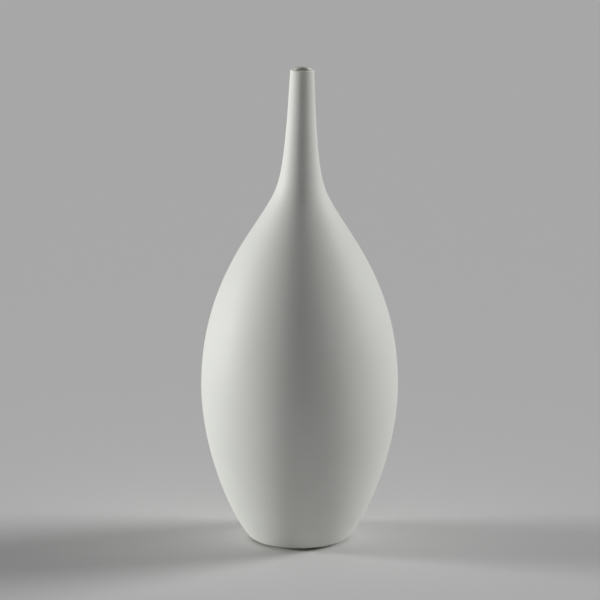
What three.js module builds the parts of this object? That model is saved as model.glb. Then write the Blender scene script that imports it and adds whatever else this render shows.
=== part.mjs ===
// A ceramic bud vase: one slip-cast, fired shell whose egg-shaped body draws in to a slim neck, standing on
// four self-adhesive felt pads. Units are millimetres, +Z is up, and the origin is the centre of the base, on
// the surface that the vase stands on. Outlines are (radius, height), turned about the vertical axis.
import * as THREE from "three";

const { degToRad, lerp, smoothstep } = THREE.MathUtils;

const OVERALL_HEIGHT = 400;

// Felt pads, stuck to the flat of the foot ring
const PAD_COUNT = 4;
const PAD_RADIUS = 4.5;
const PAD_THICKNESS = 1.5;
const PAD_BEVEL = 0.3;

// Foot of the shell: a flat ring with a rounded outer edge, round a shallow, slightly domed recess
const FOOT_PLANE = PAD_THICKNESS;
const FOOT_RADIUS = 38;
const FOOT_EDGE_ROUND = 7;
const RING_INNER_RADIUS = 27;
const RECESS_DEPTH = 2.8;
const RECESS_DOME = 0.4;
const RECESS_SIDE_WIDTH = 6;

// Lip: the wall ends in a full round
const LIP_RADIUS = 9.7;
const LIP_ROUND = 1.3;

// Stations up the outer wall. A lean is the wall's angle from vertical in degrees, positive where the wall
// spreads as it rises and negative where it draws in. The pulls say for about how far below and above the
// station the wall keeps that direction.
const FOOT = { lean: 37, pullAbove: 29 };
const BELLY = { radius: 81.6, height: 132, lean: 0, pullBelow: 50, pullAbove: 57 };
const SHOULDER = { radius: 43.9, height: 258, lean: -32, pullBelow: 34.5, pullAbove: 32.5 };
const NECK_ROOT = { radius: 17.2, height: 310, lean: -12.3, pullBelow: 17.3, pullAbove: 23.8 };
const LIP = { lean: -4, pullBelow: 12 };

// Inside: the wall's thickness, the floor, and the share of the foot-to-belly stretch that the rounded corner
// between wall and floor takes up
const BODY_WALL = 4;
const LIP_WALL = 2 * LIP_ROUND;
const FLOOR_HEIGHT = 9.5;
const FLOOR_CORNER_SHARE = 0.14;
const FLOOR_CORNER_RUN = 1.5; // length of the corner along the floor, over its height up the wall

// Flat facets round the axis, and straight steps along each curve of the outlines
const SHELL_SIDES = 48;
const PAD_SIDES = 24;
const STEPS = {
  footEdge: 4,
  footToBelly: 10,
  bellyToShoulder: 9,
  shoulderToNeck: 7,
  neckToLip: 6,
  lipHalf: 4,
  corner: 5,
};

const MATTE_GLAZE = new THREE.MeshStandardMaterial({ color: 0xe4e4df, roughness: 0.6, metalness: 0 });
const FELT = new THREE.MeshStandardMaterial({ color: 0xb9b4a8, roughness: 0.95, metalness: 0 });

const point = (radius, height) => new THREE.Vector2(radius, height);

// The point at this angle on a round, in degrees anticlockwise from straight out.
function onRound(centre, radius, degrees) {
  const angle = degToRad(degrees);
  return point(centre.x + radius * Math.cos(angle), centre.y + radius * Math.sin(angle));
}

// Points along a round from one angle to another, without the first, where the outline already is.
function arc(centre, radius, from, to, steps) {
  return Array.from({ length: steps }, (_, i) => onRound(centre, radius, lerp(from, to, (i + 1) / steps)));
}

const footEdgeCentre = point(FOOT_RADIUS, FOOT_PLANE + FOOT_EDGE_ROUND);
const lipCentre = point(LIP_RADIUS - LIP_ROUND, OVERALL_HEIGHT - LIP_ROUND);

// A station with its point on the wall and the wall's direction there, upwards.
function placed(station, at = point(station.radius, station.height)) {
  const angle = degToRad(station.lean);
  return { ...station, at, up: point(Math.sin(angle), Math.cos(angle)) };
}

const foot = placed(FOOT, onRound(footEdgeCentre, FOOT_EDGE_ROUND, -FOOT.lean));
const belly = placed(BELLY);
const shoulder = placed(SHOULDER);
const neckRoot = placed(NECK_ROOT);
const lip = placed(LIP, onRound(lipCentre, LIP_ROUND, -LIP.lean));

// The smooth stretch of wall from one station up to the next.
function stretch(lower, upper, steps) {
  const leaves = lower.at.clone().addScaledVector(lower.up, lower.pullAbove);
  const arrives = upper.at.clone().addScaledVector(upper.up, -upper.pullBelow);
  return { curve: new THREE.CubicBezierCurve(lower.at, leaves, arrives, upper.at), steps };
}

const footToBelly = stretch(foot, belly, STEPS.footToBelly);
const wall = [
  footToBelly,
  stretch(belly, shoulder, STEPS.bellyToShoulder),
  stretch(shoulder, neckRoot, STEPS.shoulderToNeck),
  stretch(neckRoot, lip, STEPS.neckToLip),
];

// The wall keeps the body's thickness up to the shoulder, and thins smoothly up the neck to the lip.
function wallThickness(height) {
  return lerp(BODY_WALL, LIP_WALL, smoothstep(height, shoulder.at.y, lip.at.y));
}

// The point on the inner face across the wall from a place along one stretch, and the wall's direction there.
function innerFace(curve, share) {
  const outer = curve.getPoint(share);
  const up = curve.getTangent(share);
  const thickness = wallThickness(outer.y);
  return { at: point(outer.x - up.y * thickness, outer.y + up.x * thickness), up };
}

// The inner face, from the lip down to where the floor's corner begins.
function innerWall() {
  return wall.toReversed().flatMap(({ curve, steps }) => {
    const end = curve === footToBelly.curve ? FLOOR_CORNER_SHARE : 0;
    return Array.from({ length: steps }, (_, i) => innerFace(curve, lerp(1, end, (i + 1) / steps)).at);
  });
}

// The rounded inside corner, which leaves the wall in the wall's own direction and ends level with the floor.
function floorCorner() {
  const { at, up } = innerFace(footToBelly.curve, FLOOR_CORNER_SHARE);
  const alongWall = (at.y - FLOOR_HEIGHT) / up.y;
  const corner = point(at.x - up.x * alongWall, FLOOR_HEIGHT);
  const onFloor = point(corner.x - alongWall * FLOOR_CORNER_RUN, FLOOR_HEIGHT);
  return new THREE.QuadraticBezierCurve(at, corner, onFloor).getPoints(STEPS.corner).slice(1);
}

// The underside, from its centre out to the start of the foot's rounded edge.
function underside() {
  const recessTop = FOOT_PLANE + RECESS_DEPTH;
  const side = new THREE.QuadraticBezierCurve(
    point(RING_INNER_RADIUS - RECESS_SIDE_WIDTH, recessTop),
    point(RING_INNER_RADIUS - RECESS_SIDE_WIDTH / 4, recessTop),
    point(RING_INNER_RADIUS, FOOT_PLANE),
  );
  return [point(0, recessTop + RECESS_DOME), ...side.getPoints(STEPS.corner), point(FOOT_RADIUS, FOOT_PLANE)];
}

// The whole outline: underside, foot edge, outer wall, lip, inner wall, floor.
function shellOutline() {
  return [
    ...underside(),
    ...arc(footEdgeCentre, FOOT_EDGE_ROUND, -90, -FOOT.lean, STEPS.footEdge),
    ...wall.flatMap(({ curve, steps }) => curve.getPoints(steps).slice(1)),
    ...arc(lipCentre, LIP_ROUND, -LIP.lean, 90, STEPS.lipHalf),
    ...arc(lipCentre, LIP_ROUND, 90, 180 - LIP.lean, STEPS.lipHalf),
    ...innerWall(),
    ...floorCorner(),
    point(0, FLOOR_HEIGHT),
  ];
}

// A felt disc with its cut edges eased, its lower face on height 0.
function padOutline() {
  const flatRadius = PAD_RADIUS - PAD_BEVEL;
  return [
    point(0, 0),
    point(flatRadius, 0),
    point(PAD_RADIUS, PAD_BEVEL),
    point(PAD_RADIUS, PAD_THICKNESS - PAD_BEVEL),
    point(flatRadius, PAD_THICKNESS),
    point(0, PAD_THICKNESS),
  ];
}

// A turned solid. LatheGeometry turns its outline about Y, and a quarter turn about X stands it up along Z.
function turned(name, outline, sides, material) {
  const mesh = new THREE.Mesh(new THREE.LatheGeometry(outline, sides).rotateX(Math.PI / 2), material);
  mesh.name = name;
  return mesh;
}

// One pad, midway across the flat of the foot ring. The first is an eighth of a turn from +X.
function makePad(index) {
  const pad = turned(`felt_pad_${index + 1}`, padOutline(), PAD_SIDES, FELT);
  const ringMiddle = (FOOT_RADIUS + RING_INNER_RADIUS) / 2;
  const angle = ((index + 0.5) / PAD_COUNT) * 2 * Math.PI;
  pad.position.set(ringMiddle * Math.cos(angle), ringMiddle * Math.sin(angle), 0);
  return pad;
}

const vase = new THREE.Group();
vase.add(turned("vase_shell", shellOutline(), SHELL_SIDES, MATTE_GLAZE));
for (let index = 0; index < PAD_COUNT; index++) vase.add(makePad(index));

export default vase;
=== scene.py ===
import math

import bpy
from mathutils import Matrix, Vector, noise


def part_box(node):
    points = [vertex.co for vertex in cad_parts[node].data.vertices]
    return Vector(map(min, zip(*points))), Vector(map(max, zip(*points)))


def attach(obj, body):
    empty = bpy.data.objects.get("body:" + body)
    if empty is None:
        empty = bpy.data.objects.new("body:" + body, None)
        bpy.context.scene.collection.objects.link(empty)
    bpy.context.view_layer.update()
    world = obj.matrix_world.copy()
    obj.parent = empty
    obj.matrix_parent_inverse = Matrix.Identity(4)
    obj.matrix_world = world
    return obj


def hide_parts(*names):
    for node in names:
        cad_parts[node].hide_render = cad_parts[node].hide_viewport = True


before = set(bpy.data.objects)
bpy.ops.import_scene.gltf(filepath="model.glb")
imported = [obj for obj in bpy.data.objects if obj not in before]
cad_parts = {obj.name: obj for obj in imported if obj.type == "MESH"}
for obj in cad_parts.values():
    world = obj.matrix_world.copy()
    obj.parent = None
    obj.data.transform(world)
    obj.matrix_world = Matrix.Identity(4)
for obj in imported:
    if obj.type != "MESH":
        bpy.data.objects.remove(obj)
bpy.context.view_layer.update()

MM = 0.001

# ---------------------------------------------------------------- the shell's sizes

shell_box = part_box("vase_shell")
FOOT_PLANE = shell_box[0].z
OVERALL_HEIGHT = shell_box[1].z
BELLY_RADIUS = shell_box[1].x

# The foot: a flat ring with rounded edges, round a shallow, slightly domed recess
FOOT_RADIUS = 38 * MM
FOOT_EDGE_ROUND = 7 * MM
RING_INNER_RADIUS = 27 * MM
RING_INNER_ROUND = 1.2 * MM
RECESS_DEPTH = 2.8 * MM
RECESS_DOME = 0.4 * MM

# The glaze stops a little above the flat of the ring, which is wiped bare
GLAZE_THICKNESS = 0.15 * MM
GLAZE_LINE = FOOT_PLANE + 0.6 * MM
GLAZE_LINE_WANDER = 0.2 * MM
GLAZE_EDGE = 0.5 * MM  # height over which the glaze thins out to nothing

# The lip: a full round
LIP_RADIUS = 9.7 * MM
LIP_ROUND = 1.3 * MM

# Stations up the outer wall: (radius, height), and the wall's lean from vertical in degrees, negative where
# it draws in as it rises. The pulls say for about how far below and above it keeps that direction.
FOOT = {"lean": 37, "pull_above": 29 * MM}
BELLY = {"at": (BELLY_RADIUS, 132 * MM), "lean": 0, "pull_below": 50 * MM, "pull_above": 57 * MM}
SHOULDER = {"at": (43.9 * MM, 258 * MM), "lean": -32, "pull_below": 34.5 * MM, "pull_above": 32.5 * MM}
NECK_ROOT = {"at": (17.2 * MM, 310 * MM), "lean": -12.3, "pull_below": 17.3 * MM, "pull_above": 23.8 * MM}
LIP = {"lean": -4, "pull_below": 12 * MM}

# Inside: the wall's thickness, the floor, and the rounded corner between them
BODY_WALL = 4 * MM
LIP_WALL = 2 * LIP_ROUND
FLOOR_HEIGHT = 9.5 * MM
FLOOR_CORNER_SHARE = 0.14  # share of the foot-to-belly stretch that the corner takes up
FLOOR_CORNER_RUN = 1.5  # length of the corner along the floor, over its height up the wall

# How the fired shell differs from a true turned shape. Its unevenness fades in above the foot and off the
# axis.
NECK_LEAN = 1.35 * MM  # how far the mouth has leant towards +X
NECK_LEAN_START = 262 * MM
NECK_LEAN_CURVE = 1.2  # 1 would be a straight lean
OVALNESS = 0.12 * MM
OVAL_AZIMUTH = -0.35  # of the long axis, in radians
FETTLING_WAVES = 0.06 * MM
FETTLING_SPACING = 45 * MM
FETTLING_WAVES_ROUND = 1.4  # about how many waves a radian
RIM_WAVES = 0.12 * MM
RIM_WAVES_ROUND = 1.1
RIM_WAVES_SEED = Vector((5, 0, 0))  # where in the noise its waves are taken
RIM_BAND = 12 * MM  # how far down from the lip its waves reach
TRUE_FOOT_TOP = 10 * MM
UNEVEN_ABOVE = 40 * MM
UNEVEN_BEYOND = 20 * MM  # how far off the axis

# The felt pads, and the film that sticks each to the bare clay
PAD_COUNT = 4
PAD_EDGE_ROUND = 0.25 * MM
FELT_TANGLE = 0.05 * MM  # how unevenly the cut edge of the felt lies
FELT_CLUMP = 0.5 * MM  # about how far apart its tangles are
FILM_INSET = 0.15 * MM  # how far the adhesive film stops short of the pad's edge

# Straight faces round the axis, and straight steps along each curve of the outlines
SHELL_SIDES = 240
PAD_SIDES = 96
STEPS = {
    "recess": 12,
    "recess_edge": 6,
    "ring_inner_edge": 16,
    "ring": 8,
    "ring_outer_edge": 40,
    "foot_to_belly": 52,
    "belly_to_shoulder": 50,
    "shoulder_to_neck": 28,
    "neck_to_lip": 34,
    "lip": 20,
    "corner": 10,
    "floor": 8,
    "pad_face": 14,
    "pad_edge": 4,
    "pad_side": 5,
}

# Nearer than this to the axis, a point is on it
AXIS_TOLERANCE = 1e-6 * MM

# The numbers of the shell's two surfaces
OUTSIDE, INSIDE = range(2)

# ---------------------------------------------------------------- outlines, as (radius, height)


def at_angle(centre, radius, degrees):
    """The point at this angle on a round, anticlockwise from straight out."""
    angle = math.radians(degrees)
    return centre + radius * Vector((math.cos(angle), math.sin(angle)))


def arc(centre, radius, start, end, steps):
    """Points along a round from one angle to another, in degrees from straight out, without the first."""
    return [at_angle(centre, radius, start + (end - start) * i / steps) for i in range(1, steps + 1)]


def line(start, end, steps):
    """Points along a straight line, without the first."""
    return [start.lerp(end, i / steps) for i in range(1, steps + 1)]


def smooth(value, low, high):
    """0 below low, 1 above high, and a smooth step between."""
    share = min(max((value - low) / (high - low), 0), 1)
    return share * share * (3 - 2 * share)


def direction(lean):
    """Upwards along a wall that leans this many degrees outwards."""
    return Vector((math.sin(math.radians(lean)), math.cos(math.radians(lean))))


class Stretch:
    """A smooth stretch of the outer wall, from one station, where t is 0, up to the next, where it is 1."""

    def __init__(self, lower, upper, steps):
        start, end = Vector(lower["at"]), Vector(upper["at"])
        leave = start + lower["pull_above"] * direction(lower["lean"])
        arrive = end - upper["pull_below"] * direction(upper["lean"])
        self.points = (start, leave, arrive, end)
        self.steps = steps

    def at(self, t):
        start, leave, arrive, end = self.points
        return (1 - t) ** 3 * start + 3 * (1 - t) ** 2 * t * leave + 3 * (1 - t) * t**2 * arrive + t**3 * end

    def up(self, t):
        """The wall's direction there, upwards."""
        start, leave, arrive, end = self.points
        slope = (1 - t) ** 2 * (leave - start) + 2 * (1 - t) * t * (arrive - leave) + t**2 * (end - arrive)
        return slope.normalized()

    def inside(self, t):
        """The point on the inner face across the wall, which thins from the shoulder to the lip."""
        outer, up = self.at(t), self.up(t)
        thinned = smooth(outer.y, SHOULDER["at"][1], OVERALL_HEIGHT)
        thickness = BODY_WALL + (LIP_WALL - BODY_WALL) * thinned
        return outer + thickness * Vector((-up.y, up.x))


foot_edge_centre = Vector((FOOT_RADIUS, FOOT_PLANE + FOOT_EDGE_ROUND))
lip_centre = Vector((LIP_RADIUS - LIP_ROUND, OVERALL_HEIGHT - LIP_ROUND))
foot_station = {**FOOT, "at": at_angle(foot_edge_centre, FOOT_EDGE_ROUND, -FOOT["lean"])}
lip_station = {**LIP, "at": at_angle(lip_centre, LIP_ROUND, -LIP["lean"])}
WALL = (
    Stretch(foot_station, BELLY, STEPS["foot_to_belly"]),
    Stretch(BELLY, SHOULDER, STEPS["belly_to_shoulder"]),
    Stretch(SHOULDER, NECK_ROOT, STEPS["shoulder_to_neck"]),
    Stretch(NECK_ROOT, lip_station, STEPS["neck_to_lip"]),
)


def recess():
    """The underside inside the foot ring, from its centre to where the ring's inner edge starts to round."""
    top = FOOT_PLANE + RECESS_DEPTH
    fillet = RECESS_DEPTH - RING_INNER_ROUND
    flat = RING_INNER_RADIUS - fillet
    shares = [i / STEPS["recess"] for i in range(STEPS["recess"] + 1)]
    ceiling = [Vector((flat * share, top + RECESS_DOME * (1 - share**2))) for share in shares]
    return ceiling + arc(Vector((flat, top - fillet)), fillet, 90, 0, STEPS["recess_edge"])


def ring_edge(centre, radius, start, end, steps):
    """A rounded edge of the foot ring. Below the glaze line it is set back by the glaze's thickness."""
    points = []
    for point in arc(centre, radius, start, end, steps):
        bare = 1 - smooth(point.y, GLAZE_LINE - GLAZE_EDGE / 2, GLAZE_LINE + GLAZE_EDGE / 2)
        points.append(point + GLAZE_THICKNESS * bare * (centre - point).normalized())
    return points


def foot_ring():
    """The ring's inner edge, its flat, and its outer edge up to the foot station."""
    inner_centre = Vector((RING_INNER_RADIUS + RING_INNER_ROUND, FOOT_PLANE + RING_INNER_ROUND))
    inner_edge = ring_edge(inner_centre, RING_INNER_ROUND, -180, -90, STEPS["ring_inner_edge"])
    outer_edge = ring_edge(foot_edge_centre, FOOT_EDGE_ROUND, -90, -FOOT["lean"], STEPS["ring_outer_edge"])
    flat = line(inner_edge[-1], Vector((FOOT_RADIUS, inner_edge[-1].y)), STEPS["ring"])
    return inner_edge + flat + outer_edge


def outer_wall():
    return [stretch.at(i / stretch.steps) for stretch in WALL for i in range(1, stretch.steps + 1)]


def inner_wall():
    """The inner face from the lip down to where the floor's corner begins, at half the outside's steps."""
    points = []
    for stretch in reversed(WALL):
        end = FLOOR_CORNER_SHARE if stretch is WALL[0] else 0
        steps = stretch.steps // 2
        points += [stretch.inside(1 + (end - 1) * i / steps) for i in range(1, steps + 1)]
    return points


def inner_floor():
    """The rounded corner, which leaves the wall in its own direction, and the floor to its centre."""
    wall_end, up = WALL[0].inside(FLOOR_CORNER_SHARE), WALL[0].up(FLOOR_CORNER_SHARE)
    along_wall = (wall_end.y - FLOOR_HEIGHT) / up.y
    corner = wall_end - along_wall * up
    on_floor = corner - Vector((along_wall * FLOOR_CORNER_RUN, 0))
    down, across = line(wall_end, corner, STEPS["corner"]), line(corner, on_floor, STEPS["corner"])
    rounded = [a.lerp(b, (i + 1) / STEPS["corner"]) for i, (a, b) in enumerate(zip(down, across))]
    return rounded + line(on_floor, Vector((0, FLOOR_HEIGHT)), STEPS["floor"])


def shell_outline():
    """The whole outline, and the surface of the band that ends at each of its points."""
    lip = arc(lip_centre, LIP_ROUND, -LIP["lean"], 180 - LIP["lean"], STEPS["lip"])
    outside = recess() + foot_ring() + outer_wall() + lip
    inside = inner_wall() + inner_floor()
    return outside + inside, [OUTSIDE] * len(outside) + [INSIDE] * len(inside)


# ---------------------------------------------------------------- meshes


def compass(azimuth):
    """The level direction at this azimuth, in radians from +X."""
    return Vector((math.cos(azimuth), math.sin(azimuth), 0))


def turned_point(radius, height, azimuth):
    return compass(azimuth) * radius + Vector((0, 0, height))


def band(below, above, sides):
    """The faces between two rings of vertices, triangles where one ring is a single vertex on the axis."""
    faces = []
    for j in range(sides):
        k = (j + 1) % sides
        bottom = below[j % len(below)], below[k % len(below)]
        top = above[k % len(above)], above[j % len(above)]
        faces.append(tuple(dict.fromkeys(bottom + top)))
    return faces


def turned_mesh(name, outline, sides, place, surfaces=None):
    """An outline turned about the axis, which gives a closed mesh if it starts and ends there. surfaces has
    the number of the material of the band that ends at each point, and place(radius, height, azimuth) gives
    each vertex."""
    vertices, rings = [], []
    for point in outline:
        count = sides if point.x > AXIS_TOLERANCE else 1
        rings.append([len(vertices) + j for j in range(count)])
        vertices += [place(point.x, point.y, 2 * math.pi * j / count) for j in range(count)]
    faces, numbers = [], []
    for i in range(1, len(rings)):
        faces += band(rings[i - 1], rings[i], sides)
        numbers += [surfaces[i] if surfaces else 0] * sides
    mesh = bpy.data.meshes.new(name)
    mesh.from_pydata(vertices, [], faces)
    mesh.polygons.foreach_set("material_index", numbers)
    mesh.shade_smooth()
    piece = bpy.data.objects.new(name, mesh)
    bpy.context.scene.collection.objects.link(piece)
    return piece


def shell_point(radius, height, azimuth):
    """Where a point of the outline lies on the fired shell, which is faintly oval and wavy and has a leaning
    neck."""
    around = compass(azimuth)
    uneven = smooth(height, TRUE_FOOT_TOP, UNEVEN_ABOVE) * smooth(radius, 0, UNEVEN_BEYOND)
    oval = OVALNESS * math.cos(2 * (azimuth - OVAL_AZIMUTH))
    level = Vector((0, 0, height / FETTLING_SPACING))
    wave = FETTLING_WAVES * noise.noise(FETTLING_WAVES_ROUND * around + level)
    up_neck = max((height - NECK_LEAN_START) / (OVERALL_HEIGHT - NECK_LEAN_START), 0)
    lean = NECK_LEAN * up_neck**NECK_LEAN_CURVE
    near_rim = smooth(height, OVERALL_HEIGHT - RIM_BAND, OVERALL_HEIGHT)
    # This noise seldom leaves -0.5 to 0.5, so the lip hardly ever rises above its full height
    dip = RIM_WAVES * near_rim * (0.5 - noise.noise(RIM_WAVES_ROUND * around + RIM_WAVES_SEED))
    return around * (radius + uneven * (oval + wave)) + Vector((lean, 0, height - dip))


def make_shell():
    outline, surfaces = shell_outline()
    shell = turned_mesh("glazed_shell", outline, SHELL_SIDES, shell_point, surfaces)
    shell.data.materials.append(matte_glaze())
    shell.data.materials.append(inner_glaze())
    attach(shell, "root")
    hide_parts("vase_shell")


# ---------------------------------------------------------------- materials


NOISE_RANGE = 0.3, 0.7  # where nearly all of the noise texture's values lie


class Surface:
    """A procedural material: a Principled shader, and short calls that feed it patterns laid out in metres.
    The roughness holds where no pattern replaces it."""

    def __init__(self, name, roughness, specular=0.5):
        self.material = bpy.data.materials.new(name)
        self.material.use_nodes = True
        self.nodes = self.material.node_tree.nodes
        self.links = self.material.node_tree.links
        self.shader = self.nodes["Principled BSDF"]
        self.shader.inputs["Roughness"].default_value = roughness
        self.shader.inputs["Specular IOR Level"].default_value = specular
        self.position = self.nodes.new("ShaderNodeTexCoord").outputs["Object"]
        self.normal = None

    def height(self):
        node = self.nodes.new("ShaderNodeSeparateXYZ")
        self.links.new(self.position, node.inputs["Vector"])
        return node.outputs["Z"]

    def noise(self, size, detail=2, stretch=(1, 1, 1)):
        """Noise from 0 to 1 with features about this size, longer along an axis whose stretch is under 1."""
        vector = self.position
        if stretch != (1, 1, 1):
            mapping = self.nodes.new("ShaderNodeMapping")
            mapping.inputs["Scale"].default_value = stretch
            self.links.new(vector, mapping.inputs["Vector"])
            vector = mapping.outputs["Vector"]
        texture = self.nodes.new("ShaderNodeTexNoise")
        texture.inputs["Scale"].default_value = 1 / size
        texture.inputs["Detail"].default_value = detail
        self.links.new(vector, texture.inputs["Vector"])
        return self.spread(texture.outputs["Fac"], *NOISE_RANGE)

    def spots(self, spacing, radius):
        """1 at the middle of spots scattered about this far apart, falling to 0 at this radius."""
        texture = self.nodes.new("ShaderNodeTexVoronoi")
        texture.inputs["Scale"].default_value = 1 / spacing
        self.links.new(self.position, texture.inputs["Vector"])
        return self.spread(texture.outputs["Distance"], 0, radius / spacing, 1, 0)

    def spread(self, value, low, high, to_low=0, to_high=1):
        """value, with low to high spread over to_low to to_high and held there beyond them."""
        node = self.nodes.new("ShaderNodeMapRange")
        node.inputs["From Min"].default_value = low
        node.inputs["From Max"].default_value = high
        node.inputs["To Min"].default_value = to_low
        node.inputs["To Max"].default_value = to_high
        self.links.new(value, node.inputs["Value"])
        return node.outputs["Result"]

    def between(self, at_0, at_1, pattern):
        """A pattern that goes from 0 to 1, made to go from at_0 to at_1."""
        return self.spread(pattern, 0, 1, at_0, at_1)

    def combine(self, operation, first, second):
        """One of the Math node's operations on two values, of which the second may be a plain number."""
        node = self.nodes.new("ShaderNodeMath")
        node.operation = operation
        self.links.new(first, node.inputs[0])
        if isinstance(second, float):
            node.inputs[1].default_value = second
        else:
            self.links.new(second, node.inputs[1])
        return node.outputs["Value"]

    def mixed(self, share, first, second):
        """first where share is 0 and second where it is 1. Each is a colour or what mixed gave before."""
        node = self.nodes.new("ShaderNodeMix")
        node.data_type = "RGBA"
        self.links.new(share, node.inputs["Factor"])
        for socket, colour in ((node.inputs["A"], first), (node.inputs["B"], second)):
            if isinstance(colour, tuple):
                socket.default_value = (*colour, 1)
            else:
                self.links.new(colour, socket)
        return node.outputs["Result"]

    def set(self, socket, value):
        self.links.new(value, self.shader.inputs[socket])

    def bump(self, value, height, share=None):
        """Relief of this height, on top of any before it. share says where it shows, from 0 to 1."""
        node = self.nodes.new("ShaderNodeBump")
        node.inputs["Distance"].default_value = height
        self.links.new(value, node.inputs["Height"])
        if share is not None:
            self.links.new(share, node.inputs["Strength"])
        if self.normal is not None:
            self.links.new(self.normal, node.inputs["Normal"])
        self.normal = node.outputs["Normal"]
        self.set("Normal", self.normal)


# Where there are two colours, they are a darker and a lighter tone that the material wanders between
GLAZE_COLOURS = (0.768, 0.78, 0.733), (0.79, 0.80, 0.76)
# The tint where the glaze runs thin, which at the lip is also painted shade that dims the lip's highlight
THIN_GLAZE_AND_LIP_SHADE_COLOUR = (0.73, 0.72, 0.655)
INNER_GLAZE_COLOURS = (0.77, 0.78, 0.735), (0.80, 0.805, 0.765)
CLAY_COLOURS = (0.60, 0.55, 0.47), (0.70, 0.66, 0.58)
FELT_COLOURS = (0.20, 0.18, 0.155), (0.40, 0.37, 0.33)
FILM_COLOURS = (0.70, 0.70, 0.66), (0.78, 0.78, 0.75)
FLOOR_COLOUR = (0.8, 0.8, 0.8)

THIN_GLAZE_AND_LIP_SHADE_BAND = 1 * MM  # how far from the lip and from its own edge the glaze runs thin, and so how far the lip's painted shade reaches
GLAZE_LINE_RAGGED = 0.04 * MM
GLAZE_LINE_BLUR = 0.03 * MM


def above_glaze_line(surface):
    """Height above the edge of the glaze, which wanders round the foot and is faintly ragged."""
    wander = surface.between(-GLAZE_LINE_WANDER, GLAZE_LINE_WANDER, surface.noise(size=12 * MM))
    ragged = surface.between(-GLAZE_LINE_RAGGED, GLAZE_LINE_RAGGED, surface.noise(size=0.9 * MM))
    height = surface.combine("ADD", surface.combine("ADD", surface.height(), wander), ragged)
    return surface.combine("SUBTRACT", height, GLAZE_LINE)


def thin_glaze_and_lip_shade(surface, above_line):
    """1 at the lip and at the glaze's lower edge, falling to 0 over the band where the glaze runs thin. At
    the lip it also places painted shade, which dims the lip's highlight.
    """
    at_foot = surface.spread(above_line, 0, THIN_GLAZE_AND_LIP_SHADE_BAND, 1, 0)
    at_lip = surface.spread(surface.height(), OVERALL_HEIGHT - THIN_GLAZE_AND_LIP_SHADE_BAND, OVERALL_HEIGHT)
    return surface.combine("MAXIMUM", at_foot, at_lip)


def outer_relief(surface, glazed, bare):
    """An eggshell surface, a fine grain and rare pinholes on the glaze, its edge, and grit on the clay."""
    eggshell = surface.noise(size=2.2 * MM)
    grain = surface.noise(size=0.35 * MM)
    pinholes = surface.spots(spacing=14 * MM, radius=0.25 * MM)
    clay_grit = surface.noise(size=0.35 * MM, detail=4)
    surface.bump(eggshell, height=0.022 * MM, share=glazed)
    surface.bump(grain, height=0.006 * MM, share=glazed)
    surface.bump(pinholes, height=-0.05 * MM, share=glazed)
    surface.bump(glazed, height=0.08 * MM)
    surface.bump(clay_grit, height=0.03 * MM, share=bare)


def matte_glaze():
    """Off-white matte glaze, slowly clouded, and a little warmer where it runs thin; at the lip this darker
    tint is also painted shade that dims the lip's highlight. Below its lower edge the clay is bare."""
    surface = Surface("outer_glaze", roughness=0.58, specular=0.4)
    above_line = above_glaze_line(surface)
    glazed = surface.spread(above_line, -GLAZE_LINE_BLUR, GLAZE_LINE_BLUR)
    bare = surface.between(1, 0, glazed)

    clouded = surface.mixed(surface.noise(size=60 * MM), *GLAZE_COLOURS)
    # The thin glaze's darker, warmer tint, which at the lip is also painted shade that dims its highlight
    glaze_colour = surface.mixed(thin_glaze_and_lip_shade(surface, above_line), clouded, THIN_GLAZE_AND_LIP_SHADE_COLOUR)
    clay_colour = surface.mixed(surface.noise(size=0.6 * MM, detail=4), *CLAY_COLOURS)
    surface.set("Base Color", surface.mixed(bare, glaze_colour, clay_colour))
    glaze_roughness = surface.between(0.55, 0.61, surface.noise(size=25 * MM))
    clay_roughness = surface.between(0, 0.88, bare)
    surface.set("Roughness", surface.combine("MAXIMUM", glaze_roughness, clay_roughness))
    outer_relief(surface, glazed, bare)
    return surface.material


def inner_glaze():
    """The same glaze poured inside, where it is thicker and a little glossier."""
    surface = Surface("inner_glaze", roughness=0.32)
    surface.set("Base Color", surface.mixed(surface.noise(size=30 * MM), *INNER_GLAZE_COLOURS))
    surface.set("Roughness", surface.between(0.28, 0.36, surface.noise(size=18 * MM)))
    surface.bump(surface.noise(size=6 * MM), height=0.016 * MM)
    surface.bump(surface.spots(spacing=11 * MM, radius=0.3 * MM), height=-0.05 * MM)
    return surface.material


def felt():
    """Grey-brown pressed wool: tangled short fibres with a soft sheen."""
    surface = Surface("pressed_felt", roughness=0.95)
    surface.shader.inputs["Sheen Weight"].default_value = 0.15
    surface.shader.inputs["Sheen Roughness"].default_value = 0.6
    fibres = surface.noise(size=0.45 * MM, detail=6, stretch=(1, 0.35, 1))
    crossing_fibres = surface.noise(size=0.3 * MM, detail=5, stretch=(0.3, 1, 1))
    fuzz = surface.noise(size=0.12 * MM, detail=3)
    surface.set("Base Color", surface.mixed(fibres, *FELT_COLOURS))
    surface.bump(crossing_fibres, height=0.05 * MM)
    surface.bump(fuzz, height=0.016 * MM)
    return surface.material


def adhesive():
    """The thin white film that sticks a pad to the foot ring."""
    surface = Surface("adhesive_film", roughness=0.4)
    surface.set("Base Color", surface.mixed(surface.noise(size=1.2 * MM), *FILM_COLOURS))
    surface.bump(surface.noise(size=0.8 * MM), height=0.004 * MM)
    return surface.material


def studio_paint():
    """Plain, fully matt pale paint."""
    surface = Surface("pale_floor", roughness=1, specular=0)
    surface.shader.inputs["Base Color"].default_value = (*FLOOR_COLOUR, 1)
    return surface.material


# ---------------------------------------------------------------- the felt pads


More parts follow.
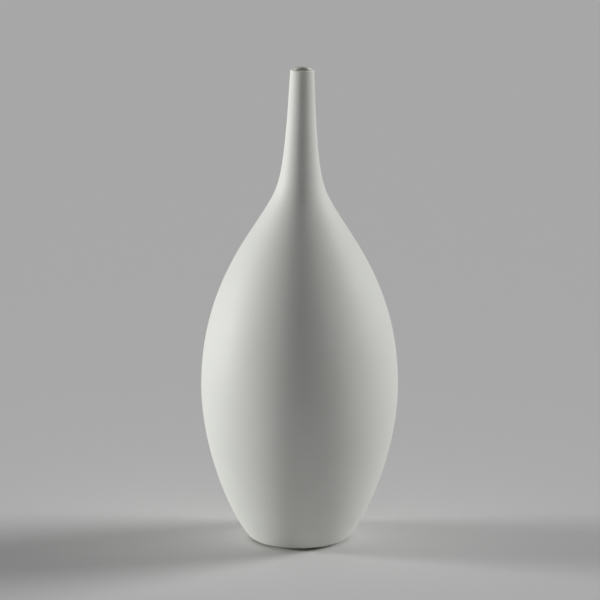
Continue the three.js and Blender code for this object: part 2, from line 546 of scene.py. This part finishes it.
def make_felt_dot(number, centre, radius, thickness, material):
    """A disc of felt with a soft, faintly tangled edge."""
    edge_circle = radius - PAD_EDGE_ROUND

    def felt_point(from_centre, height, azimuth):
        """The tangle only draws the edge in, so that the dot stays inside its pad's box."""
        around = compass(azimuth)
        place = Vector((centre.x, centre.y, height)) + around * from_centre
        tangle = FELT_TANGLE * noise.noise(place / FELT_CLUMP)
        at_edge = smooth(from_centre, edge_circle - 2 * PAD_EDGE_ROUND, edge_circle)
        return place + around * at_edge * (tangle - FELT_TANGLE)

    low, high = Vector((edge_circle, PAD_EDGE_ROUND)), Vector((edge_circle, thickness - PAD_EDGE_ROUND))
    out = Vector((PAD_EDGE_ROUND, 0))
    outline = [Vector((0, 0))] + line(Vector((0, 0)), Vector((edge_circle, 0)), STEPS["pad_face"])
    outline += arc(low, PAD_EDGE_ROUND, -90, 0, STEPS["pad_edge"])
    outline += line(low + out, high + out, STEPS["pad_side"])
    outline += arc(high, PAD_EDGE_ROUND, 0, 90, STEPS["pad_edge"])
    outline += line(outline[-1], Vector((0, thickness)), STEPS["pad_face"])
    dot = turned_mesh(f"felt_dot_{number}", outline, PAD_SIDES, felt_point)
    dot.data.materials.append(material)
    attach(dot, "root")
    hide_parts(f"felt_pad_{number}")


def make_adhesive_film(number, centre, radius, bottom, material):
    """The film between a felt dot and the bare clay, as thick as the glaze that is missing there."""

    def film_point(from_centre, height, azimuth):
        return Vector((centre.x, centre.y, 0)) + turned_point(from_centre, height, azimuth)

    top = bottom + GLAZE_THICKNESS
    outline = [Vector(point) for point in ((0, bottom), (radius, bottom), (radius, top), (0, top))]
    film = turned_mesh(f"adhesive_film_{number}", outline, PAD_SIDES, film_point)
    film.data.materials.append(material)
    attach(film, "root")


def make_pads():
    felt_material, adhesive_material = felt(), adhesive()
    for number in range(1, PAD_COUNT + 1):
        low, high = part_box(f"felt_pad_{number}")
        centre, radius = (low + high) / 2, (high.x - low.x) / 2
        make_felt_dot(number, centre, radius, high.z, felt_material)
        make_adhesive_film(number, centre, radius - FILM_INSET, high.z, adhesive_material)


# ---------------------------------------------------------------- the studio

# The camera's elevation and roll are in degrees
CAMERA_ELEVATION = 15
CAMERA_ROLL = 0.18
CAMERA_DISTANCE = 10 * OVERALL_HEIGHT
CAMERA_AIM = Vector((0.1 * MM, 0, 204.5 * MM))
CAMERA_REACH = 100
FRAME_WIDTH = 496.1 * MM  # how much the picture takes in across, at the vase
SENSOR_WIDTH = 36  # in millimetres, which Blender's lenses are given in too

STUDIO_RADIUS = 16
STUDIO_FLAT = 8  # radius of the floor's level part
STUDIO_WALL = 0.62  # how high its edge curves up
STUDIO_CURVE = 2.5  # the power of the distance that it rises with
STUDIO_SIDES = 96
STUDIO_RINGS = 60
AMBIENT_LIGHT = 0.01


def make_camera():
    data = bpy.data.cameras.new("camera")
    data.sensor_width = SENSOR_WIDTH
    data.lens = SENSOR_WIDTH * CAMERA_DISTANCE / FRAME_WIDTH
    data.clip_end = CAMERA_REACH
    camera = bpy.data.objects.new("camera", data)
    bpy.context.scene.collection.objects.link(camera)
    elevation = math.radians(CAMERA_ELEVATION)
    back = Vector((0, -math.cos(elevation), math.sin(elevation)))
    camera.location = CAMERA_AIM + CAMERA_DISTANCE * back
    camera.rotation_mode = "XYZ"
    camera.rotation_euler = (math.radians(90 - CAMERA_ELEVATION), 0, 0)
    camera.rotation_euler.rotate_axis("Z", math.radians(CAMERA_ROLL))
    bpy.context.scene.camera = camera


def floor_height(radius):
    """How high the studio's floor is, this far from the vase."""
    beyond = max((radius - STUDIO_FLAT) / (STUDIO_RADIUS - STUDIO_FLAT), 0)
    return STUDIO_WALL * beyond**STUDIO_CURVE


def make_floor():
    """The floor and backdrop in one: level round the vase, and curving up far from it on every side. The
    outline runs inwards, which makes its faces look up."""
    radii = [STUDIO_RADIUS * i / STUDIO_RINGS for i in range(STUDIO_RINGS, -1, -1)]
    outline = [Vector((radius, floor_height(radius))) for radius in radii]
    floor = turned_mesh("studio_floor", outline, STUDIO_SIDES, turned_point)
    floor.data.materials.append(studio_paint())


def soft_light(name, azimuth, elevation, spread, strength):
    """A wide, far-off soft light, with its angles in degrees. Azimuth 0 is the camera's side and 90 is its
    right, and spread is how far across the light is, seen from the vase."""
    data = bpy.data.lights.new(name, "SUN")
    data.angle = math.radians(spread)
    data.energy = strength
    light = bpy.data.objects.new(name, data)
    bpy.context.scene.collection.objects.link(light)
    side, up = math.radians(azimuth), math.radians(elevation)
    towards_light = Vector((math.sin(side) * math.cos(up), -math.cos(side) * math.cos(up), math.sin(up)))
    light.location = towards_light
    light.rotation_mode = "QUATERNION"
    light.rotation_quaternion = towards_light.to_track_quat("Z", "Y")


def make_lights():
    soft_light("left", azimuth=-96, elevation=8, spread=16, strength=2.8)
    soft_light("right", azimuth=105, elevation=21, spread=24, strength=2.05)
    soft_light("top", azimuth=0, elevation=78, spread=60, strength=0.38)
    world = bpy.data.worlds.new("studio")
    world.use_nodes = True
    background = world.node_tree.nodes["Background"]
    background.inputs["Color"].default_value = (1, 1, 1, 1)
    background.inputs["Strength"].default_value = AMBIENT_LIGHT
    bpy.context.scene.world = world
    bpy.context.scene.view_settings.view_transform = "Standard"


make_camera()
make_shell()
make_pads()
make_floor()
make_lights()
